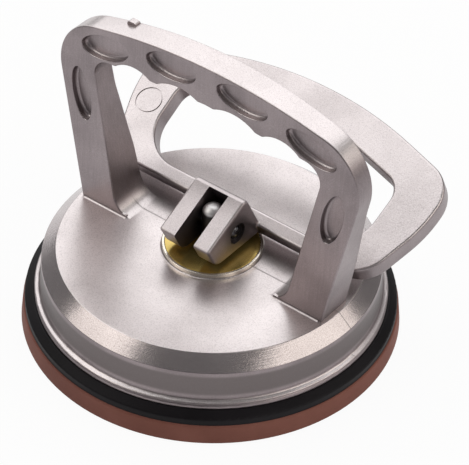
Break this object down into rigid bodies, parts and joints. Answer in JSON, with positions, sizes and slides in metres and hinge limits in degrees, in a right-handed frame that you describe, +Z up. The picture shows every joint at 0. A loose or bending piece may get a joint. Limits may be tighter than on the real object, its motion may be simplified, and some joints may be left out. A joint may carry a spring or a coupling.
{
  "type": "suction lifter",
  "caption": "Hand-held lever-operated suction lifter: round rubber pad under a housing with an arch handle and a hinged loop lever.",
  "frame": {"origin": "centre of the suction face, on the plane that touches the tile", "axes": "+Z up along the stud, +X along the arch handle and the lever's hinge, +Y towards the lever's loop at rest"},
  "size_m": [0.12, 0.12, 0.0975],
  "materials": {
    "casting": "satin, blasted",
    "lever": "satin, blasted",
    "pin_steel": "dark, polished end",
    "stud_steel": "turned",
    "washer": "yellow zinc plating, glossy",
    "spring_steel": "bright wire",
    "plate_steel": "zinc plated",
    "black_rubber": "satin rubber",
    "red_rubber": "soft matt rubber"
  },
  "bodies": {
    "housing": {"body_casting": "casting", "wear_washer": "washer", "return_spring": "spring_steel", "diaphragm_rubber": "black_rubber", "suction_face_rubber": "red_rubber"},
    "stud": {"pull_stud": "stud_steel", "backing_plate": "plate_steel"},
    "lever": {"lever_casting": "lever", "lever_pin": "pin_steel"}
  },
  "joints": [
    {"name": "stud_lift", "type": "slide", "parent": "housing", "child": "stud", "axis": [0, 0, 1], "range_m": [0, 0.00442], "deforming": ["return_spring"]},
    {"name": "lever_swing", "type": "hinge", "parent": "stud", "child": "lever", "pos_m": [0, 0, 0.0365], "axis": [1, 0, 0], "range_deg": [0, 63]}
  ],
  "couplings": [
    {"joint": "stud_lift", "follows": "lever_swing", "m_per_rad": 0.0040198}
  ]
}
